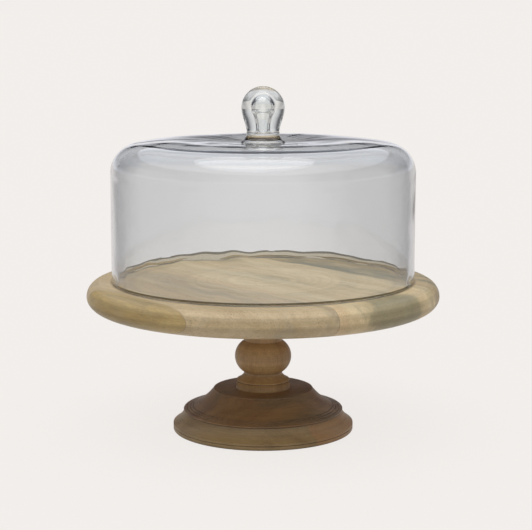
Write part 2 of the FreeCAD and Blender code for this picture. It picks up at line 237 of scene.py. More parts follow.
def new_group(name, inputs, outputs):
    """A shader node group. Its sockets' names go with their kinds, or with a Float's default."""
    group = bpy.data.node_groups.new(name, "ShaderNodeTree")
    for socket_name, kind in inputs.items():
        if isinstance(kind, str):
            group.interface.new_socket(socket_name, in_out="INPUT", socket_type="NodeSocket" + kind)
        else:
            socket = group.interface.new_socket(socket_name, in_out="INPUT", socket_type="NodeSocketFloat")
            socket.default_value = kind
    for socket_name, kind in outputs.items():
        group.interface.new_socket(socket_name, in_out="OUTPUT", socket_type="NodeSocket" + kind)
    return group, add_node(group, "NodeGroupInput"), add_node(group, "NodeGroupOutput")


def along_grain(tree, given):
    """A group's given position, turned so that X runs along the grain."""
    turn = add_node(tree, "ShaderNodeVectorRotate", rotation_type="EULER_XYZ", invert=True)
    feed(tree, turn.inputs["Vector"], given["Vector"])
    feed(tree, turn.inputs["Rotation"], given["Grain Rotation"])
    return turn.outputs["Vector"]


# ---- shared effects --------------------------------------

# waves per metre along the grain and across it, both ways
DRIFT_WAVES = (5.0, 16.0, 16.0)
STREAK_WAVES = (5.0, 62.0, 62.0)
FIBRE_WAVES = (55.0, 900.0, 900.0)
STAIN_WAVES = (7.0, 34.0, 34.0)
PORE_WAVES = (150.0, 1050.0, 1050.0)
PORE_CLUSTER_WAVES = (30.0, 90.0, 90.0)

DRIFT_REACH = (20.0 * MM, 14.0 * MM, 14.0 * MM)     # how far the grain wanders
LATE_WOOD = 1.6                 # above 1, the dark part of a growth ring is the narrower one
PORE_SHADE = (0.42, 0.36, 0.3)  # what a pore leaves of the wood's colour
PATCH_RAG, BAND_RAG = 50.0 * MM, 20.0 * MM          # how far streaks pull a stain's edge


def timber_group():
    """Solid wood: growth rings round a pith, long streaks, fibres, pores and stained bands."""
    group, given, result = new_group(
        "Timber",
        {"Vector": "Vector", "Grain Rotation": "Vector", "Pith": "Vector", "Ring Pitch": 7.0 * MM,
         "Pale Color": "Color", "Deep Color": "Color", "Stain Color": "Color", "Stain Amount": 0.5,
         "Figure Contrast": 1.0, "Pore Amount": 0.4, "Band Color": "Color", "Band Centre": 0.0,
         "Band Width": 0.0, "Patch Centre": "Vector", "Patch Radius": 0.0},
        {"Color": "Color", "Roughness Shift": "Float", "Height": "Float"})
    give = given.outputs
    along = along_grain(group, give)
    seeded = vector_maths(group, "ADD", along, give["Pith"])
    drift = stretched_noise(group, seeded, DRIFT_WAVES, 3.0, 0.55, colour=True)
    drift = vector_maths(group, "SUBTRACT", drift, (0.5, 0.5, 0.5))
    wood = vector_maths(group, "ADD", seeded, vector_maths(group, "MULTIPLY", drift, DRIFT_REACH))

    # growth rings are cylinders round the pith, which lies along the grain
    section = vector_maths(group, "MULTIPLY", wood, (0.0, 1.0, 1.0))
    ring = maths(group, "DIVIDE", vector_maths(group, "LENGTH", section), give["Ring Pitch"])
    late = maths(group, "POWER", maths(group, "PINGPONG", ring, 0.5), LATE_WOOD)

    streak = stretched_noise(group, wood, STREAK_WAVES, 5.0, 0.6)
    pull = minus(group, streak, 0.5)
    fibre = stretched_noise(group, wood, FIBRE_WAVES, 3.0, 0.6)
    figure = plus(group, ramp(group, streak, 0.34, 0.68, 0.0, 0.75), times(group, late, 0.5))
    figure = times(group, figure, give["Figure Contrast"], clamp=True)
    body = mixed(group, figure, give["Pale Color"], give["Deep Color"])

    # grey and olive staining in long drifting patches
    patch = stretched_noise(group, wood, STAIN_WAVES, 4.0, 0.62)
    stain = times(group, ramp(group, patch, 0.5, 0.66), give["Stain Amount"])
    body = mixed(group, stain, body, give["Stain Color"])

    # one stained patch with soft, streaked edges
    away = vector_maths(group, "SUBTRACT", give["Vector"], give["Patch Centre"])
    away = plus(group, vector_maths(group, "LENGTH", away), times(group, pull, PATCH_RAG))
    soft = times(group, give["Patch Radius"], 0.6)
    spot = times(group, ramp(group, away, give["Patch Radius"], soft), 0.85)
    spot = times(group, spot, ramp(group, give["Patch Radius"], 0.0, 1.0 * MM))
    body = mixed(group, spot, body, give["Stain Color"])

    # one coloured band beside a glue line, with ragged edges
    across = plus(group, parts(group, along)["Y"], times(group, pull, BAND_RAG))
    off = maths(group, "ABSOLUTE", minus(group, across, give["Band Centre"]))
    half = times(group, give["Band Width"], 0.5)
    inside = ramp(group, minus(group, half, off), -1.0 * MM, 2.5 * MM, 0.0, 0.75)
    inside = times(group, inside, ramp(group, half, 0.0, 1.0 * MM))
    body = mixed(group, inside, body, give["Band Color"])

    # pores: short open vessels along the grain, dots on end grain
    cells = add_node(group, "ShaderNodeTexVoronoi", feature="F1")
    feed(group, cells.inputs["Vector"], vector_maths(group, "MULTIPLY", wood, PORE_WAVES))
    feed(group, cells.inputs["Scale"], 1.0)
    shade = ramp(group, stretched_noise(group, wood, PORE_CLUSTER_WAVES), 0.42, 0.66)
    pore = times(group, ramp(group, cells.outputs["Distance"], 0.34, 0.12), shade)
    tone = ramp(group, fibre, 0.3, 0.7, 0.86, 1.1, smooth=False)
    body = mixed(group, 1.0, body, tone, "MULTIPLY")
    darker = mixed(group, 1.0, body, PORE_SHADE, "MULTIPLY")
    body = mixed(group, times(group, pore, give["Pore Amount"]), body, darker)

    height = minus(group, times(group, fibre, 0.35), pore)
    rough = plus(group, times(group, pore, 0.2), times(group, pull, 0.25))
    for name, value in (("Color", body), ("Roughness Shift", rough), ("Height", height)):
        feed(group, result.inputs[name], value)
    return group


def turning_group():
    """Faint rings that a lathe tool and sanding leave round the Z axis."""
    group, given, result = new_group(
        "Turning Marks", {"Vector": "Vector", "Lines Per Metre": 900.0},
        {"Height": "Float", "Tone": "Float"})
    give = given.outputs
    level = vector_maths(group, "MULTIPLY", give["Vector"], (1.0, 1.0, 0.0))
    place = add_node(group, "ShaderNodeCombineXYZ")
    feed(group, place.inputs["X"], vector_maths(group, "LENGTH", level))
    feed(group, place.inputs["Y"], parts(group, give["Vector"])["Z"])
    lines = noise_value(group, place.outputs[0], give["Lines Per Metre"], 3.0, 0.7)
    broad = noise_value(group, place.outputs[0], times(group, give["Lines Per Metre"], 0.2))
    feed(group, result.inputs["Height"], lines)
    feed(group, result.inputs["Tone"], ramp(group, plus(group, lines, broad), 0.8, 1.2, 0.88, 1.1,
                                            smooth=False))
    return group


def groove_shade_group():
    """Painted shade that darkens tight grooves, found by ambient occlusion and broken up so that no line is
    even; the material also uses its mask to roughen them as wax and dust would.
    """
    group, given, result = new_group(
        "Groove Shade And Dust",
        {"Vector": "Vector", "Color": "Color", "Grime Color": "Color", "Reach": 3.0 * MM, "Amount": 0.85},
        {"Color": "Color", "Mask": "Float"})
    give = given.outputs
    hollow = add_node(group, "ShaderNodeAmbientOcclusion", samples=8)
    feed(group, hollow.inputs["Distance"], give["Reach"])
    closed = ramp(group, hollow.outputs["AO"], 0.95, 0.45)
    patchy = ramp(group, noise_value(group, give["Vector"], 120.0, 3.0), 0.3, 0.6, 0.65, 1.0)
    mask = times(group, times(group, closed, patchy), give["Amount"])
    feed(group, result.inputs["Color"], mixed(group, mask, give["Color"], give["Grime Color"]))
    feed(group, result.inputs["Mask"], mask)
    return group


def seam_group():
    """The glue lines at a stave's two sides, given by their distances from the axis."""
    group, given, result = new_group(
        "Glue Seams",
        {"Vector": "Vector", "Grain Rotation": "Vector", "Low": -1.0, "High": 1.0, "Width": 0.35 * MM},
        {"Mask": "Float"})
    give = given.outputs
    across = parts(group, along_grain(group, give))["Y"]
    nearest = maths(group, "MINIMUM", *(maths(group, "ABSOLUTE", minus(group, across, give[side]))
                                        for side in ("Low", "High")))
    feed(group, result.inputs["Mask"], ramp(group, nearest, give["Width"], 0.0))
    return group


def thread_group():
    """A screw thread's height round the Z axis, for bolts, screws and inserts."""
    group, given, result = new_group(
        "Screw Thread", {"Vector": "Vector", "Pitch": 1.25 * MM}, {"Height": "Float"})
    place = parts(group, given.outputs["Vector"])
    angle = maths(group, "ARCTAN2", place["Y"], place["X"])
    lead = maths(group, "DIVIDE", place["Z"], given.outputs["Pitch"])
    phase = plus(group, lead, maths(group, "DIVIDE", angle, FULL_TURN))
    feed(group, result.inputs["Height"], maths(group, "PINGPONG", phase, 0.5))
    return group


EFFECTS = {"Timber": timber_group, "Turning Marks": turning_group, "Groove Shade And Dust": groove_shade_group,
           "Glue Seams": seam_group, "Screw Thread": thread_group}


def place_group(tree, name, **values):
    """Puts a shared effect in a tree; keyword names are its sockets' names with _ for spaces."""
    group = bpy.data.node_groups.get(name) or EFFECTS[name]()
    node = add_node(tree, "ShaderNodeGroup", node_tree=group, label=name)
    for socket, value in values.items():
        feed(tree, node.inputs[socket.replace("_", " ")], value)
    return node.outputs


# ---- materials -------------------------------------------

def new_material(name):
    """An empty material with its output and a Principled shader: (material, tree, shader)."""
    material = bpy.data.materials.new(name)
    material.use_nodes = True
    tree = material.node_tree
    tree.nodes.clear()
    output = add_node(tree, "ShaderNodeOutputMaterial")
    shader = add_node(tree, "ShaderNodeBsdfPrincipled")
    tree.links.new(shader.outputs[0], output.inputs["Surface"])
    return material, tree, shader


def position(tree):
    return add_node(tree, "ShaderNodeTexCoord").outputs["Object"]


def bumped(tree, height, distance):
    """Normals for a height that is 1 where the surface stands `distance` proud."""
    node = add_node(tree, "ShaderNodeBump")
    for name, value in (("Strength", 1.0), ("Distance", distance), ("Height", height)):
        feed(tree, node.inputs[name], value)
    return node.outputs["Normal"]


def in_glass(tree, path):
    """1 for rays that glass or gloss sends on, from a Light Path's outputs."""
    return maths(tree, "MAXIMUM", path["Is Glossy Ray"], path["Is Transmission Ray"])


def show_mix(tree, factor, shader, other):
    """Puts a mix of a material's shader and another one on its surface."""
    choose = add_node(tree, "ShaderNodeMixShader")
    for socket, value in zip(choose.inputs, (factor, shader.outputs[0], other.outputs[0])):
        feed(tree, socket, value)
    output = next(node for node in tree.nodes if node.type == "OUTPUT_MATERIAL")
    tree.links.new(choose.outputs[0], output.inputs["Surface"])


GRAIN_DEPTH = 0.05 * MM
WAX_ROUGHNESS = 0.35


def timber_material(name, wood, grain, roughness, wax, groove_shade_colour, seams=None, turned=900.0):
    """Waxed, turned wood. wood holds the Timber group's values, grain is an Euler, seams the glue lines:
    their low and high distances from the axis and their colour."""
    material, tree, shader = new_material(name)
    place = position(tree)
    timber = place_group(tree, "Timber", Vector=place, Grain_Rotation=tuple(grain), **wood)
    marks = place_group(tree, "Turning Marks", Vector=place, Lines_Per_Metre=turned)
    colour = mixed(tree, 1.0, timber["Color"], marks["Tone"], "MULTIPLY")
    height = plus(tree, timber["Height"], times(tree, marks["Height"], 0.6))
    if seams:
        low, high, seam_colour = seams
        seam = place_group(tree, "Glue Seams", Vector=place, Grain_Rotation=tuple(grain), Low=low,
                           High=high)["Mask"]
        colour = mixed(tree, times(tree, seam, 0.8), colour, seam_colour)
        height = minus(tree, height, seam)
    # painted shade in the grooves, from ambient occlusion; its mask also roughens them
    shade_and_dust = place_group(tree, "Groove Shade And Dust", Vector=place, Color=colour, Grime_Color=groove_shade_colour)
    feed(tree, shader.inputs["Base Color"], shade_and_dust["Color"])
    rough = plus(tree, timber["Roughness Shift"], roughness)
    dusty = times(tree, shade_and_dust["Mask"], 0.2)
    feed(tree, shader.inputs["Roughness"], plus(tree, rough, dusty, clamp=True))
    feed(tree, shader.inputs["Normal"], bumped(tree, height, GRAIN_DEPTH))
    shader.inputs["Coat Weight"].default_value = wax
    shader.inputs["Coat Roughness"].default_value = WAX_ROUGHNESS
    return material


GLASS_IOR = 1.5
EDGE_ON = (0.4, 0.9)            # Layer Weight's Facing where the painted edge shade starts and is full
UPRIGHT_FACE = (0.7, 0.2)       # how far the normal tips from level where the painted edge shade starts and is full


def glass_material(name, tint, edge_shade_tint, painted_tint=None):
    """Clear glass with painted shade where its upright faces are seen edge-on, that lets lamps light what
    stands under it. The near tint, when given, takes the other tints' place for rays that enter the glass;
    it carries the painted rim shade and the painted bore reflection."""
    material, tree, shader = new_material(name)
    # painted shade on upright faces seen edge-on
    slant = add_node(tree, "ShaderNodeLayerWeight")
    slant.inputs["Blend"].default_value = 0.5
    edge_shade_mask = ramp(tree, slant.outputs["Facing"], *EDGE_ON)
    surface = add_node(tree, "ShaderNodeNewGeometry")
    tipped = maths(tree, "ABSOLUTE", parts(tree, surface.outputs["Normal"])["Z"])
    edge_shade_mask = times(tree, edge_shade_mask, ramp(tree, tipped, *UPRIGHT_FACE))
    colour = mixed(tree, edge_shade_mask, tint, edge_shade_tint)
    if painted_tint:
        colour = mixed(tree, surface.outputs["Backfacing"], painted_tint, colour)
    feed(tree, shader.inputs["Base Color"], colour)
    shader.inputs["Transmission Weight"].default_value = 1.0
    shader.inputs["Roughness"].default_value = 0.0
    shader.inputs["IOR"].default_value = GLASS_IOR
    path = add_node(tree, "ShaderNodeLightPath").outputs
    clear = add_node(tree, "ShaderNodeBsdfTransparent")
    feed(tree, clear.inputs["Color"], WHITE)
    show_mix(tree, maths(tree, "MAXIMUM", path["Is Shadow Ray"], path["Is Diffuse Ray"]), shader, clear)
    return material


TARNISH = (0.72, 0.7, 0.66)     # what the duller clouds leave of a metal's colour
THREAD_DEPTH = 0.5 * MM
DRAWN_LINES = 6000.0            # per metre


def metal_material(name, colour, roughness, pitch):
    """Machined metal with a thread, drawn lines and a slightly uneven polish."""
    material, tree, shader = new_material(name)
    place = position(tree)
    thread = place_group(tree, "Screw Thread", Vector=place, Pitch=pitch)["Height"]
    marks = place_group(tree, "Turning Marks", Vector=place, Lines_Per_Metre=DRAWN_LINES)
    cloud = noise_value(tree, place, 400.0, 4.0)
    dull = mixed(tree, 1.0, colour, TARNISH, "MULTIPLY")
    feed(tree, shader.inputs["Base Color"], mixed(tree, ramp(tree, cloud, 0.4, 0.7), colour, dull))
    feed(tree, shader.inputs["Roughness"], ramp(tree, cloud, 0.3, 0.7, roughness - 0.06, roughness + 0.1))
    height = plus(tree, thread, times(tree, marks["Height"], 0.05))
    feed(tree, shader.inputs["Normal"], bumped(tree, height, THREAD_DEPTH))
    shader.inputs["Metallic"].default_value = 1.0
    return material


FELT_DARK, FELT_PALE = (0.05, 0.035, 0.025), (0.13, 0.1, 0.075)
FELT_DEPTH = 0.25 * MM
HAIR_WAVES = (2600.0, 700.0, 700.0)


def felt_material():
    """Dense wool felt of tangled fibres and a few longer hairs."""
    material, tree, shader = new_material("Wool felt")
    place = position(tree)
    tangle = noise_value(tree, place, 900.0, 6.0, 0.7)
    fuzz = plus(tree, tangle, stretched_noise(tree, place, HAIR_WAVES, 3.0, 0.6))
    feed(tree, shader.inputs["Base Color"], mixed(tree, ramp(tree, fuzz, 0.8, 1.25), FELT_DARK, FELT_PALE))
    feed(tree, shader.inputs["Normal"], bumped(tree, fuzz, FELT_DEPTH))
    shader.inputs["Roughness"].default_value = 0.95
    shader.inputs["Sheen Weight"].default_value = 0.35
    shader.inputs["Sheen Roughness"].default_value = 0.5
    return material


def finish_node(node, material):
    """Gives a frame node's mesh one material in place of its plain one."""
    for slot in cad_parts[node].material_slots:
        slot.material = material


# ---- glass -----------------------------------------------

def arc_points(centre, radius, first, last, count):
    """Points of a section's arc, angles in degrees from +radius towards +height."""
    points = []
    for step in range(count + 1):
        angle = math.radians(first + (last - first) * step / count)
        points.append((centre[0] + radius * math.cos(angle), centre[1] + radius * math.sin(angle)))
    return points


def straight(start, end, count):
    return [tuple(a + (b - a) * step / count for a, b in zip(start, end)) for step in range(count + 1)]


def bow_points(start, end, sag, count):
    """A shallow bow from start to end, `sag` to the left of the way it runs."""
    (r0, z0), (r1, z1) = start, end
    chord = math.hypot(r1 - r0, z1 - z0)
    normal = (-(z1 - z0) / chord, (r1 - r0) / chord)
    points = []
    for step in range(count + 1):
        share = step / count
        lift = 4 * sag * share * (1 - share)
        points.append((r0 + (r1 - r0) * share + normal[0] * lift,
                       z0 + (z1 - z0) * share + normal[1] * lift))
    return points


def leaving_points(start, heading, end, count):
    """A bow that leaves start at a heading, in degrees, and ends at end."""
    (r0, z0), (r1, z1) = start, end
    swing = math.atan2(z1 - z0, r1 - r0) - math.radians(heading)
    return bow_points(start, end, -math.dist(start, end) / 2 * math.tan(swing / 2), count)


def joined(*runs):
    """One run of points with no doubled ones."""
    points = []
    for run in runs:
        for point in run:
            if not points or math.dist(point, points[-1]) > DOUBLED:
                points.append(point)
    return points


def eased(value, start, reach):
    """0 up to start, 1 from start + reach on, and a smooth rise between them."""
    share = min(max((value - start) / reach, 0.0), 1.0)
    return share * share * (3 - 2 * share)


def lathe(mesh, section, segments, uneven=None, flip=False):
    """Turns a section round Z into a bmesh. uneven(radius, height, angle) moves a point in or out."""
    rings = []
    for radius, height in section:
        if radius < DOUBLED:
            rings.append([mesh.verts.new((0.0, 0.0, height))])
            continue
        ring = []
        for step in range(segments):
            angle = FULL_TURN * step / segments
            dr, dz = uneven(radius, height, angle) if uneven else (0.0, 0.0)
            ring.append(mesh.verts.new(((radius + dr) * math.cos(angle), (radius + dr) * math.sin(angle),
                                        height + dz)))
        rings.append(ring)
    for first, second in zip(rings, rings[1:]):
        for step in range(segments):
            after = (step + 1) % segments
            if len(first) == 1:
                corners = [first[0], second[step], second[after]]
            elif len(second) == 1:
                corners = [first[step], second[0], first[after]]
            else:
                corners = [first[step], second[step], second[after], first[after]]
            mesh.faces.new(corners[::-1] if flip else corners)


def glass_object(name, mesh, materials, node, body):
    """Links a finished bmesh as a smooth piece that stands for a frame node."""
    data = bpy.data.meshes.new(name)
    mesh.to_mesh(data)
    mesh.free()
    for polygon in data.polygons:
        polygon.use_smooth = True
    for material in materials:
        data.materials.append(material)
    piece = bpy.data.objects.new(name, data)
    bpy.context.scene.collection.objects.link(piece)
    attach(piece, body)
    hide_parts(node)


KNOB_FOOT_RADIUS = 17.0 * MM
WELD_FILLET = 1.8 * MM
CROWN_STEPS = 14
RIM_LIFT = 0.05 * MM            # keeps the glass and the wood apart, so that both faces show


def weld():
    """The ring where the knob's fillet meets the crown: (radius, height)."""
    return KNOB_FOOT_RADIUS + WELD_FILLET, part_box("dome_knob")[0].z


def crown_points(settings, offset):
    """The crown's section from the knob out and round the shoulder, `offset` inside the outer face."""
    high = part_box("dome_shell")[1]
    top, outer = high.z, high.x
    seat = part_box("dome_knob")[0].z
    foot, ring = KNOB_FOOT_RADIUS, settings.crown_ring
    shoulder_in = outer - settings.shoulder
    half_run = (ring - foot) / 2
    dish_radius = (half_run ** 2 + (settings.dish / 2) ** 2) / settings.dish
    turn = math.degrees(math.asin(half_run / dish_radius))
    hollow = arc_points((foot, seat + dish_radius), dish_radius + offset, -90.0, -90.0 + turn, CROWN_STEPS)
    hump = arc_points((ring, top - dish_radius), dish_radius - offset, 90.0 + turn, 90.0, CROWN_STEPS)
    reach = settings.crown - settings.shoulder
    rise = math.sqrt(reach ** 2 - (shoulder_in - ring) ** 2)
    edge = math.degrees(math.atan2(rise, shoulder_in - ring))
    crown = arc_points((ring, top - settings.crown), settings.crown - offset, 90.0, edge, CROWN_STEPS)
    shoulder = arc_points((shoulder_in, top - settings.crown + rise), settings.shoulder - offset, edge, 0.0,
                          2 * CROWN_STEPS)
    return joined(hollow, hump, crown, shoulder)


WAVES_ROUND, WAVES_UP = 2.6, 16.0       # how quickly the slow waves change, round the glass and up it
RIPPLE_PACE, RIPPLE_SHARE = 3.1, 0.35   # the finer waves: how much quicker, and how deep beside them
LUMPS_ROUND = 6.5                       # how quickly the bore's lumps change near the rim
WALL_SEED, BORE_SEED, LUMP_SEED = 7.0, 40.0, 3.0
CALM_CENTRE, CALM_FADE = 20.0 * MM, 30.0 * MM   # the crown is even out to here, and free this far on
RIM_FADE, LUMP_FADE = 1.6 * MM, 14.0 * MM       # heights in which waves start and lumps end
RIM_SHARE = 0.4                         # how much of the waves is left at the rim itself
BORE_TOP, WALL_TOP = 90.0 * MM, 100.0 * MM      # heights above the rim
WALL_MARGIN = 15.0 * MM
BORE_SHADE_LINE_WANDER = 1.2                  # how much more the bore's lumps, and the painted shade line on them, move up and down than in and out
FRONT_SPREAD = 0.625                    # sine of the angle from the sides at which the lean is full
LEAN_RADIUS, LEAN_HEIGHT = (60.0 * MM, 40.0 * MM), (75.0 * MM, 38.0 * MM)   # where it starts, and its rise


def dome_unevenness(settings, low, inner, outer):
    """How a blown wall wanders: slow waves everywhere, stronger ones in the bore near the rim, and a crown
    that is fuller in front."""

    def uneven(radius, height, angle):
        across, deep = math.cos(angle), math.sin(angle)
        above = height - low
        in_bore = radius < (inner + outer) / 2 and height < low + BORE_TOP
        place = Vector((across * WAVES_ROUND, deep * WAVES_ROUND,
                        height * WAVES_UP + (BORE_SEED if in_bore else WALL_SEED)))
        wave = noise.noise(place) * settings.waviness
        ripple = noise.noise(place * RIPPLE_PACE) * settings.waviness * RIPPLE_SHARE
        near_rim = eased(above, 0.0, RIM_FADE)
        lump = noise.noise(Vector((across * LUMPS_ROUND, deep * LUMPS_ROUND, LUMP_SEED)))
        foot = (1.0 - eased(above, 0.0, LUMP_FADE)) * near_rim if in_bore else 0.0
        lump *= settings.rim_waviness * foot
        free = eased(radius, CALM_CENTRE, CALM_FADE) * (RIM_SHARE + (1 - RIM_SHARE) * near_rim)
        off = (wave + ripple) * free
        lean = settings.lean * eased(-deep, 0.0, FRONT_SPREAD) * eased(radius, *LEAN_RADIUS)
        lean *= eased(above, *LEAN_HEIGHT)
        on_wall = radius > inner - WALL_MARGIN and height < low + WALL_TOP
        return (off if on_wall else 0.0) + lump, (0.0 if on_wall else off) + lean + lump * BORE_SHADE_LINE_WANDER

    return uneven


def rim_material(height, line, half_shade_line):
    """0 for the wall, 1 for the painted shade line, 2 for the glass below it, which is tinted as a painted
    reflection of the wood.
    """
    if abs(height - line) < half_shade_line:
        return 1
    return 2 if height < line else 0


WALL_STEPS, BAND_STEPS, RIM_STEPS, FOOT_STEPS, UNDER_STEPS = 40, 3, 8, 4, 6
WELD_CLEAR = 1.0 * MM           # the crown's points start this far outside the weld


class CAKESTAND_OT_dome(bpy.types.Operator):
    """Blow the dome: wall, soft shoulder, nearly flat crown and fire-polished rim"""

    bl_idname = "cake_stand.dome"
    bl_label = "Glass Dome"

    def execute(self, context):
        settings = context.scene.cake_stand_glass
        low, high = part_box("dome_shell")
        outer, rim_low = high.x, low.z + RIM_LIFT
        inner = outer - settings.wall
        weld_radius, weld_height = weld()
        crown = crown_points(settings, 0.0)
        outside = [(weld_radius, weld_height)] + [p for p in crown if p[0] > weld_radius + WELD_CLEAR]
        edge, half_shade_line = settings.rim_round, settings.line_width / 2
        outer_shade_line, bore_shade_line = rim_low + settings.rim_shade_line, rim_low + settings.bore_shade_line
        rim_out = arc_points((outer - edge, rim_low + edge), edge, 0.0, -90.0, RIM_STEPS)
        rim_in = arc_points((inner + edge, rim_low + edge), edge, 270.0, 180.0, RIM_STEPS)
        wall_down = straight(outside[-1], (outer, outer_shade_line + half_shade_line), WALL_STEPS)
        outer_band = straight(wall_down[-1], (outer, outer_shade_line - half_shade_line), BAND_STEPS)
        inside = crown_points(settings, settings.wall)[::-1]
        bore_foot = straight(rim_in[-1], (inner, bore_shade_line - half_shade_line), FOOT_STEPS)
        bore_band = straight(bore_foot[-1], (inner, bore_shade_line + half_shade_line), BAND_STEPS)
        wall_up = straight(bore_band[-1], inside[0], WALL_STEPS)
        under = straight(inside[-1], (0.0, inside[-1][1]), UNDER_STEPS)
        section = joined(outside, wall_down, outer_band, rim_out, rim_in, bore_foot, bore_band, wall_up,
                         inside, under)
        mesh = bmesh.new()
        lathe(mesh, section, settings.segments, dome_unevenness(settings, rim_low, inner, outer))
        for face in mesh.faces:
            place = face.calc_center_median()
            in_bore = place.xy.length < (inner + outer) / 2
            face.material_index = rim_material(place.z, bore_shade_line if in_bore else outer_shade_line, half_shade_line)
        # the painted shade line, and the glass below it tinted as a painted reflection of the wood
        looks = (("Blown glass", None), ("Rim shade line", settings.rim_shade_tint), ("Painted bore reflection", settings.bore_reflection_tint))
        glass_object("dome_glass", mesh, [glass_material(name, settings.tint, settings.edge_shade_tint, near)
                                          for name, near in looks], "dome_shell", "dome")
        return {"FINISHED"}


KNOB_NECK = (14.3 * MM, 12.5 * MM)      # radius, and height above the weld
BUBBLE_RADIUS = 7.7 * MM
BUBBLE_TOP_GAP = 9.6 * MM
BUBBLE_FLOOR = 7.5 * MM
BUBBLE_FOOT_RADIUS = 5.4 * MM
BUBBLE_WAIST = (4.2 * MM, 12.0 * MM)    # radius, and height above the weld
BUBBLE_TURN = -30.0             # degrees below its widest ring where its roof runs into its side
BUBBLE_CORNER = 1.0 * MM
FLARE_TUCK = 0.9 * MM           # how far inside the foot's radius the flare ends
FILLET_SAG = 0.35 * MM
CAP_STEPS, SIDE_STEPS, FLARE_STEPS, FILLET_STEPS = 44, 12, 20, 8
ROOF_STEPS, FLANK_STEPS, SKIRT_STEPS, HEEL_STEPS = 40, 24, 16, 6


class CAKESTAND_OT_knob(bpy.types.Operator):
    """Shape the solid glass knob round its sealed bubble, with the fillet where it is fused on"""

    bl_idname = "cake_stand.knob"
    bl_label = "Glass Knob"

    def execute(self, context):
        settings = context.scene.cake_stand_glass
        low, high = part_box("dome_knob")
        seat, top, radius = low.z, high.z, high.x
        neck = (KNOB_NECK[0], seat + KNOB_NECK[1])
        flare_end = (KNOB_FOOT_RADIUS - FLARE_TUCK, seat + WELD_FILLET)
        fall = top - radius - neck[1]
        touch = math.degrees(math.acos(radius / math.hypot(neck[0], fall)) - math.atan2(fall, neck[0]))
        cap = arc_points((0.0, top - radius), radius, 90.0, touch, CAP_STEPS)
        flare = leaving_points(neck, touch - 90.0, flare_end, FLARE_STEPS)
        fillet = bow_points(flare_end, weld(), FILLET_SAG, FILLET_STEPS)
        section = joined(cap, straight(cap[-1], neck, SIDE_STEPS), flare, fillet)
        section[0] = (0.0, top)
        mesh = bmesh.new()
        lathe(mesh, section, settings.segments)

        bubble_top = top - BUBBLE_TOP_GAP
        centre = (0.0, bubble_top - BUBBLE_RADIUS)
        floor = seat + BUBBLE_FLOOR
        waist = (BUBBLE_WAIST[0], seat + BUBBLE_WAIST[1])
        corner = (BUBBLE_FOOT_RADIUS, floor + BUBBLE_CORNER)
        roof = arc_points(centre, BUBBLE_RADIUS, 90.0, BUBBLE_TURN, ROOF_STEPS)
        flank = leaving_points(waist, 90.0, roof[-1], FLANK_STEPS)[::-1]
        skirt = leaving_points(waist, -90.0, corner, SKIRT_STEPS)
        heel = arc_points((corner[0] - BUBBLE_CORNER, corner[1]), BUBBLE_CORNER, 0.0, -90.0, HEEL_STEPS)
        bubble = joined(roof, flank, skirt, heel, [(0.0, floor)])
        bubble[0] = (0.0, bubble_top)
        lathe(mesh, bubble, settings.segments // 2, flip=True)
        glass = glass_material("Solid knob glass", settings.knob_tint, settings.knob_edge_shade_tint)
        glass_object("knob_glass", mesh, [glass], "dome_knob", "dome")
        return {"FINISHED"}


# ---- wood, metal and felt --------------------------------

def wood_values(pale, deep, stain, stain_amount, pith, pitch=8.0 * MM, contrast=1.0, pores=0.45,
                band=(BLACK, 0.0, 0.0), patch=((0.0, 0.0, 0.0), 0.0)):
    """A plank's values for the Timber group. band is (colour, centre, width), patch is (centre, radius)."""
    band_colour, band_centre, band_width = band
    patch_centre, patch_radius = patch
    return {"Pale_Color": pale, "Deep_Color": deep, "Stain_Color": stain, "Stain_Amount": stain_amount,
            "Pith": pith, "Ring_Pitch": pitch, "Figure_Contrast": contrast, "Pore_Amount": pores,
            "Band_Color": band_colour, "Band_Centre": band_centre, "Band_Width": band_width,
            "Patch_Centre": patch_centre, "Patch_Radius": patch_radius}


BOARD_WOOD = {
    "board_stave_edge": wood_values((0.44, 0.32, 0.135), (0.31, 0.21, 0.075), (0.27, 0.21, 0.11), 0.7,
                                    (0.31, 0.21, -0.05)),
    "board_stave_left": wood_values((0.53, 0.41, 0.245), (0.41, 0.30, 0.16), (0.34, 0.28, 0.18), 0.7,
                                    (0.83, -0.12, -0.09), pores=0.75),
    "board_stave_middle": wood_values((0.63, 0.505, 0.30), (0.50, 0.365, 0.19), (0.25, 0.215, 0.12), 0.4,
                                      (1.37, 0.14, 0.02), contrast=0.8, pores=0.75,
                                      band=((0.57, 0.41, 0.23), -38.0 * MM, 10.0 * MM),
                                      patch=((0.116, -0.108, 0.122), 46.0 * MM)),
    "board_stave_right": wood_values((0.44, 0.335, 0.185), (0.32, 0.235, 0.12), (0.2, 0.185, 0.115), 0.95,
                                     (1.91, -0.21, 0.06)),
}
# colours of the painted shade in the board's and the base's grooves
BOARD_GROOVE_SHADE, BASE_GROOVE_SHADE = (0.16, 0.11, 0.06), (0.045, 0.028, 0.016)
BASE_TOOL_LINES = 1300.0        # per metre
DARK_SEAM = (0.2, 0.14, 0.08)
SEAMS = {"board_stave_right": (0.66, 0.56, 0.38), "board_stave_edge": (0.36, 0.26, 0.12)}


def across_grain(node, grain):
    """A stave's lowest and highest distance from the axis, square to its grain."""
    side = Vector((-math.sin(grain), math.cos(grain), 0.0))
    reach = [vertex.co.dot(side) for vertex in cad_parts[node].data.vertices]
    return min(reach), max(reach)


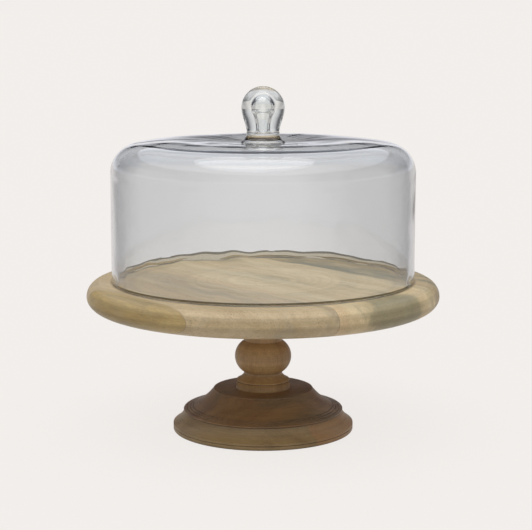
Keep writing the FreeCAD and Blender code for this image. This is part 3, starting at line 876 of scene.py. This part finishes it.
class CAKESTAND_OT_board(bpy.types.Operator):
    """Give each stave of the board its own plank of waxed wood, with its glue lines"""

    bl_idname = "cake_stand.board"
    bl_label = "Board Staves"

    def execute(self, context):
        timber = context.scene.cake_stand_timber
        grain = Euler((0.0, 0.0, timber.board_grain))
        for node, wood in BOARD_WOOD.items():
            low, high = across_grain(node, timber.board_grain)
            seam = SEAMS.get(node, DARK_SEAM)
            name = "Board wood " + node.rsplit("_", 1)[1]
            finish_node(node, timber_material(name, wood, grain, timber.board_roughness, timber.wax,
                                              BOARD_GROOVE_SHADE, (low, high, seam)))
        return {"FINISHED"}


BASE_WOOD = {
    "column": wood_values((0.46, 0.285, 0.125), (0.31, 0.175, 0.072), (0.25, 0.145, 0.065), 0.5,
                          (0.4, 0.05, 0.03), 5.0 * MM),
    "base_plinth": wood_values((0.28, 0.16, 0.07), (0.185, 0.095, 0.04), (0.15, 0.1, 0.05), 0.7,
                               (0.9, 0.07, 0.09)),
    "base_foot": wood_values((0.32, 0.215, 0.095), (0.21, 0.13, 0.055), (0.22, 0.17, 0.07), 0.7,
                             (1.6, 0.1, 0.12), band=((0.36, 0.19, 0.075), 3.0 * MM, 74.0 * MM)),
}


class CAKESTAND_OT_base(bpy.types.Operator):
    """Finish the turned column, plinth and foot in their darker wood"""

    bl_idname = "cake_stand.base"
    bl_label = "Column and Base"

    def execute(self, context):
        timber = context.scene.cake_stand_timber
        grains = {"column": Euler((0.0, QUARTER_TURN, 0.0)),
                  "base_plinth": Euler((0.0, 0.0, timber.base_grain)),
                  "base_foot": Euler((0.0, 0.0, -timber.base_grain))}
        for node, wood in BASE_WOOD.items():
            name = "Base wood " + node.rsplit("_", 1)[-1]
            finish_node(node, timber_material(name, wood, grains[node], timber.base_roughness, timber.wax,
                                              BASE_GROOVE_SHADE, turned=BASE_TOOL_LINES))
        return {"FINISHED"}


# node, finish, colour, roughness and thread pitch
METALS = (("hanger_bolt", "Zinc-plated stud", (0.62, 0.62, 0.6), 0.32, 1.25 * MM),
          ("base_screw", "Zinc-plated screw", (0.6, 0.59, 0.55), 0.36, 2.4 * MM),
          ("board_insert", "Turned brass", (0.72, 0.56, 0.28), 0.3, 1.25 * MM))


class CAKESTAND_OT_hardware(bpy.types.Operator):
    """Finish the hanger bolt, the base screw and the threaded insert"""

    bl_idname = "cake_stand.hardware"
    bl_label = "Fixings"

    def execute(self, context):
        for node, name, colour, roughness, pitch in METALS:
            finish_node(node, metal_material(name, colour, roughness, pitch))
        return {"FINISHED"}


class CAKESTAND_OT_pads(bpy.types.Operator):
    """Finish the felt pads let into the underside"""

    bl_idname = "cake_stand.pads"
    bl_label = "Felt Pads"

    def execute(self, context):
        finish_node("foot_pads", felt_material())
        return {"FINISHED"}


# ---- stage -----------------------------------------------

FLOOR_GAP = 0.3 * MM                    # keeps the floor clear of the pads' undersides
SUN_SIZE, SUN_TILT = 60.0, (14.0, -5.0)  # degrees
SENSOR_WIDTH = 36.0                     # millimetres
CAMERA_CLIP = (0.01, 200.0)
BOUNCES = {"max_bounces": 24, "transmission_bounces": 20, "glossy_bounces": 8,
           "transparent_max_bounces": 32}

# What glass and gloss see of the room. Heights and places are parts of a direction one unit long.
BACKLIGHT = (0.72, 0.72, 0.73)          # lets through square to the front, the back and the sides
ROOM = (0.05, 0.052, 0.06)              # lets through from the corners between them
OVERHEAD = (0.6, 0.61, 0.63)            # lets through from overhead
HORIZON = (0.86, 0.87, 0.95)            # reflects along the floor
LOW_WALL = (0.05, 0.055, 0.07)          # reflects a little higher
CEILING_GAP = (0.03, 0.032, 0.036)      # reflects just under the lit ceiling
CEILING = (1.05, 1.1, 1.24)
LENGTHWISE, SIDEWAYS = (0.64, 0.93), (0.88, 0.97)   # where the backlight starts and is full
OVERHEAD_START = (0.45, 0.7)
FRONT_EDGE, BACK_EDGE = 0.48, 0.42      # heights at which the ceiling starts
EDGE_TURN = (0.62, 0.9)                 # where the front's edge changes to the back's
WALL_START = (0.0, 0.13)
GAP_START, CEILING_START = (-0.13, -0.03), (-0.02, 0.02)    # from the ceiling's edge


def surround_world(strength, backdrop):
    """Even light for matt surfaces. Glass and gloss see a room with dim corners under a bright ceiling."""
    world = bpy.data.worlds.new("Studio surround")
    world.use_nodes = True
    tree = world.node_tree
    tree.nodes.clear()
    path = add_node(tree, "ShaderNodeLightPath").outputs
    way = parts(tree, add_node(tree, "ShaderNodeTexCoord").outputs["Generated"])
    lengthwise = ramp(tree, maths(tree, "ABSOLUTE", way["Y"]), *LENGTHWISE)
    sideways = ramp(tree, maths(tree, "ABSOLUTE", way["X"]), *SIDEWAYS)
    through = mixed(tree, maths(tree, "MAXIMUM", lengthwise, sideways), ROOM, BACKLIGHT)
    through = mixed(tree, ramp(tree, way["Z"], *OVERHEAD_START), through, OVERHEAD)
    above = minus(tree, way["Z"], ramp(tree, way["Y"], *EDGE_TURN, FRONT_EDGE, BACK_EDGE))
    room = mixed(tree, ramp(tree, way["Z"], *WALL_START), HORIZON, LOW_WALL)
    room = mixed(tree, ramp(tree, above, *GAP_START), room, CEILING_GAP)
    room = mixed(tree, ramp(tree, above, *CEILING_START), room, CEILING)
    studio = mixed(tree, path["Is Transmission Ray"], room, through)
    light = mixed(tree, in_glass(tree, path), (strength,) * 3, studio)
    shade = add_node(tree, "ShaderNodeBackground")
    feed(tree, shade.inputs["Color"], mixed(tree, path["Is Camera Ray"], light, backdrop))
    shade.inputs["Strength"].default_value = 1.0
    tree.links.new(shade.outputs[0], add_node(tree, "ShaderNodeOutputWorld").inputs["Surface"])
    bpy.context.scene.world = world


CARD_CLOUD = 0.995              # the card's faint unevenness
CARD_LOSS = 0.25                # how much less the card gives back to matt surfaces
FAN_FOOT, FAN_NEAR = 0.4, 0.05  # the side fade fans out from this far in front of the axis
SIDE_FADE = (0.3, 0.75, 0.0, 0.46)
FRONT_FADE = (-0.2, -0.5, 0.0, 2.0)
SLANT_FOOT = 1.35               # the right and left fades fan out from this far in front
RIGHT_FADE, LEFT_FADE = (0.01, 0.09, 0.0, 0.18), (-0.01, -0.09, 0.0, 0.09)


def floor_dimming(tree, place):
    """Painted light and shade on the floor's glow that glass and gloss see: lit behind the stand, and
    darker to the sides and in front.
    """
    x, y = place["X"], place["Y"]
    near = maths(tree, "MAXIMUM", plus(tree, y, FAN_FOOT), FAN_NEAR)
    aside = maths(tree, "DIVIDE", maths(tree, "ABSOLUTE", x), near)
    aside = plus(tree, aside, ramp(tree, y, *FRONT_FADE))
    slant = maths(tree, "DIVIDE", x, plus(tree, y, SLANT_FOOT))
    fade = maths(tree, "MAXIMUM", ramp(tree, slant, *RIGHT_FADE), ramp(tree, slant, *LEFT_FADE))
    return maths(tree, "MAXIMUM", ramp(tree, aside, *SIDE_FADE), fade)


def floor_material(colour, backdrop, evenness):
    """Matt pale card that runs into the backdrop. It glows evenly for the camera, and glass and gloss see
    its glow with painted light and shade.
    """
    material, tree, shader = new_material("Pale floor")
    place = position(tree)
    cloud = ramp(tree, noise_value(tree, place, 3.0, 4.0), 0.3, 0.7)
    card = mixed(tree, cloud, colour, [part * CARD_CLOUD for part in colour])
    path = add_node(tree, "ShaderNodeLightPath").outputs
    loss = times(tree, path["Is Diffuse Ray"], CARD_LOSS)
    feed(tree, shader.inputs["Base Color"], mixed(tree, loss, card, BLACK))
    shader.inputs["Roughness"].default_value = 1.0
    shader.inputs["Specular IOR Level"].default_value = 0.0
    glassy = in_glass(tree, path)
    # painted light and shade on the glow that glass sees
    dim = times(tree, floor_dimming(tree, parts(tree, place)), glassy)
    glow = add_node(tree, "ShaderNodeEmission")
    feed(tree, glow.inputs["Color"], mixed(tree, dim, backdrop, BLACK))
    seen = times(tree, path["Is Camera Ray"], evenness)
    show_mix(tree, maths(tree, "MAXIMUM", glassy, seen), shader, glow)
    material.cycles.emission_sampling = "NONE"
    return material


class CAKESTAND_OT_stage(bpy.types.Operator):
    """Set the pale floor, the soft light and the camera"""

    bl_idname = "cake_stand.stage"
    bl_label = "Studio Stage"

    def execute(self, context):
        studio = context.scene.cake_stand_studio
        scene = context.scene
        mesh = bmesh.new()
        bmesh.ops.create_grid(mesh, x_segments=4, y_segments=4, size=studio.floor_size / 2)
        data = bpy.data.meshes.new("floor")
        mesh.to_mesh(data)
        mesh.free()
        data.materials.append(floor_material(studio.floor, studio.backdrop, studio.evenness))
        floor = bpy.data.objects.new("floor", data)
        floor.location.z = -FLOOR_GAP
        scene.collection.objects.link(floor)

        surround_world(studio.surround, studio.backdrop)
        sun = bpy.data.lights.new("overhead", "SUN")
        sun.energy = studio.soft_light
        sun.angle = math.radians(SUN_SIZE)
        overhead = bpy.data.objects.new("overhead", sun)
        overhead.rotation_euler = Euler((*map(math.radians, SUN_TILT), 0.0))
        scene.collection.objects.link(overhead)

        board_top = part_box("dome_shell")[0].z
        camera = bpy.data.cameras.new("camera")
        camera.lens = studio.focal_length
        camera.sensor_width = SENSOR_WIDTH
        camera.sensor_fit = "HORIZONTAL"
        camera.clip_start, camera.clip_end = CAMERA_CLIP
        view = bpy.data.objects.new("camera", camera)
        view.location = (studio.camera_side, -studio.camera_distance, board_top + studio.camera_height)
        view.rotation_euler = Euler((QUARTER_TURN - studio.camera_pitch, 0.0, 0.0))
        scene.collection.objects.link(view)
        scene.camera = view
        scene.view_settings.view_transform = "Standard"
        scene.view_settings.look = "None"
        for name, count in BOUNCES.items():
            setattr(scene.cycles, name, count)
        return {"FINISHED"}


# ---- panel and registration ------------------------------

OPERATORS = (CAKESTAND_OT_stage, CAKESTAND_OT_board, CAKESTAND_OT_base, CAKESTAND_OT_hardware,
             CAKESTAND_OT_pads, CAKESTAND_OT_dome, CAKESTAND_OT_knob)
SETTINGS = {"cake_stand_glass": GlassSettings, "cake_stand_timber": TimberSettings,
            "cake_stand_studio": StudioSettings}


class CAKESTAND_PT_sidebar(bpy.types.Panel):
    """Sizes, colours and steps of the cake stand"""

    bl_idname = "CAKESTAND_PT_sidebar"
    bl_label = "Cake Stand"
    bl_space_type = "VIEW_3D"
    bl_region_type = "UI"
    bl_category = "Cake Stand"

    def draw(self, context):
        for operator in OPERATORS:
            self.layout.operator(operator.bl_idname)
        for name, group in SETTINGS.items():
            box = self.layout.box()
            for setting in group.__annotations__:
                box.prop(getattr(context.scene, name), setting)


CLASSES = (*SETTINGS.values(), *OPERATORS, CAKESTAND_PT_sidebar)


def register():
    for item in CLASSES:
        bpy.utils.register_class(item)
    for name, group in SETTINGS.items():
        setattr(bpy.types.Scene, name, PointerProperty(type=group))


def unregister():
    for name in SETTINGS:
        delattr(bpy.types.Scene, name)
    for item in reversed(CLASSES):
        bpy.utils.unregister_class(item)


def main():
    register()
    for operator in OPERATORS:
        group, name = operator.bl_idname.split(".")
        getattr(getattr(bpy.ops, group), name)()


if __name__ == "__main__":
    main()
